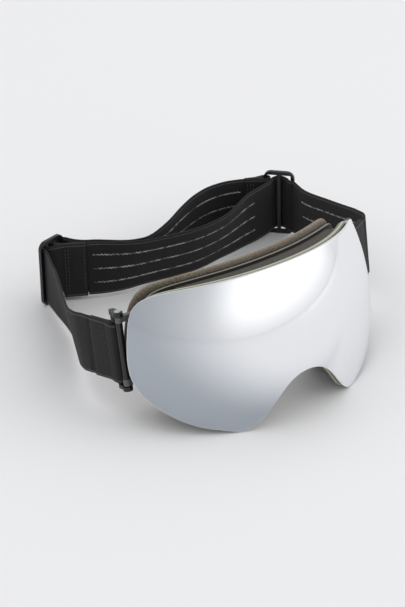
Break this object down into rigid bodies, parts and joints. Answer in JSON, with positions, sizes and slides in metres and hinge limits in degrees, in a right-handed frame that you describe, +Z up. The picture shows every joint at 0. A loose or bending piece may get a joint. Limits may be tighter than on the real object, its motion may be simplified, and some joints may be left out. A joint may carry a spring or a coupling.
{
  "type": "ski goggles",
  "caption": "Ski goggles with a mirrored toric lens that pulls off its magnetic frame, foam face padding, hinged strap outriggers and an elastic strap adjusted by ladder sliders.",
  "frame": {"origin": "centre of the resting object's bounding box at ground height", "axes": "+Z up from the ground the goggles rest on, +X towards the right-hand end seen from the front, +Y from the lens towards the wearer"},
  "size_m": [0.2222, 0.2108, 0.0967],
  "materials": {
    "lens_mirror": "polished",
    "gasket": "matte",
    "inner_lens": "gloss",
    "black_plastic": "satin",
    "magnet": "satin",
    "frame_plastic": "satin",
    "vent_foam": "matte",
    "dark_foam": "matte",
    "face_foam": "matte",
    "fleece": "matte",
    "boss_plastic": "satin",
    "steel": "satin",
    "webbing": "matte",
    "silicone": "satin"
  },
  "bodies": {
    "frame": {"frame_shell": "frame_plastic", "frame_magnets": "magnet", "top_vent_foam": "vent_foam", "bottom_vent_foam": "vent_foam", "face_foam_base": "dark_foam", "face_foam_core": "face_foam", "face_fleece": "fleece", "pivot_mount_left": "boss_plastic", "pivot_mount_right": "boss_plastic", "hinge_pin_left": "steel", "hinge_pin_right": "steel", "strap_left": "webbing", "strap_right": "webbing", "grip_lines_left": "silicone", "grip_lines_right": "silicone"},
    "lens": {"outer_lens": "lens_mirror", "lens_gasket": "gasket", "inner_lens": "inner_lens", "lens_carrier": "black_plastic", "lens_magnets": "magnet"},
    "outrigger_left": {"outrigger_left": "black_plastic", "strap_loop_left": "webbing"},
    "outrigger_right": {"outrigger_right": "black_plastic", "strap_loop_right": "webbing"},
    "slider_left": {"slider_left": "black_plastic", "strap_end_left": "webbing"},
    "slider_right": {"slider_right": "black_plastic", "strap_end_right": "webbing"}
  },
  "joints": [
    {"name": "lens_release", "type": "slide", "parent": "frame", "child": "lens", "axis": [0, -0.9877, 0.1564], "range_m": [0, 0.035]},
    {"name": "left_outrigger_hinge", "type": "hinge", "parent": "frame", "child": "outrigger_left", "pos_m": [-0.1047, -0.03954, 0.04369], "axis": [0, 0.1564, 0.9877], "range_deg": [-12, 40], "deforming": ["strap_left", "grip_lines_left"]},
    {"name": "right_outrigger_hinge", "type": "hinge", "parent": "frame", "child": "outrigger_right", "pos_m": [0.0663, -0.03954, 0.04369], "axis": [0, 0.1564, 0.9877], "range_deg": [-5, 57], "deforming": ["strap_right", "grip_lines_right"]},
    {"name": "left_slider_adjust", "type": "slide", "parent": "frame", "child": "slider_left", "axis": [-0.33, -0.944, 0], "range_m": [0, 0.04], "deforming": ["strap_right", "grip_lines_right", "strap_left", "grip_lines_left"]},
    {"name": "right_slider_adjust", "type": "slide", "parent": "frame", "child": "slider_right", "axis": [-0.14, -0.9901, 0], "range_m": [0, 0.04], "deforming": ["strap_left", "grip_lines_left", "strap_right", "grip_lines_right"]}
  ]
}
